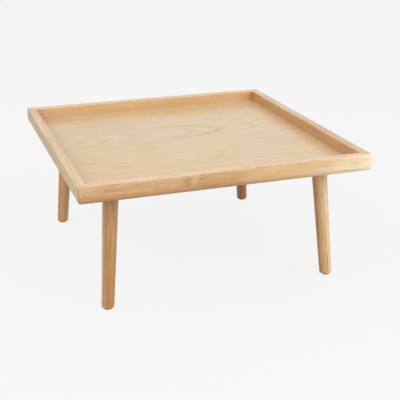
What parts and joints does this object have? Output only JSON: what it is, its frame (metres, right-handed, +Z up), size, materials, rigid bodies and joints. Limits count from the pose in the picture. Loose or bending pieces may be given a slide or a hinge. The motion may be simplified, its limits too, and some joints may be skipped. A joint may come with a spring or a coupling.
{
  "type": "coffee table",
  "caption": "Low square oak coffee table: a mitred tray rim round a recessed veneered panel, carried on round tapered legs splayed along the diagonals.",
  "frame": {"origin": "on the floor under the middle of the tray", "axes": "+Z up, +X to the right and +Y towards the back as seen from the front of the table"},
  "size_m": [0.75, 0.75, 0.35],
  "materials": {
    "oak": "satin clear lacquer on solid oak",
    "oak_veneer": "satin clear lacquer on oak veneer",
    "board": "raw fibre board",
    "plywood": "raw birch plywood",
    "zinc_steel": "zinc plated",
    "felt": "pressed felt"
  },
  "bodies": {
    "root": {"front_rail": "oak", "right_rail": "oak", "back_rail": "oak", "left_rail": "oak", "panel_core": "board", "top_veneer": "oak_veneer", "underside_veneer": "oak_veneer", "front_left_spline": "plywood", "front_right_spline": "plywood", "back_left_spline": "plywood", "back_right_spline": "plywood", "front_left_leg": "oak", "front_right_leg": "oak", "back_left_leg": "oak", "back_right_leg": "oak", "front_left_foot_pad": "felt", "front_right_foot_pad": "felt", "back_left_foot_pad": "felt", "back_right_foot_pad": "felt", "front_left_leg_plate": "zinc_steel", "front_right_leg_plate": "zinc_steel", "back_left_leg_plate": "zinc_steel", "back_right_leg_plate": "zinc_steel", "weld_nuts": "zinc_steel", "hanger_bolts": "zinc_steel", "plate_screws": "zinc_steel"}
  },
  "joints": []
}
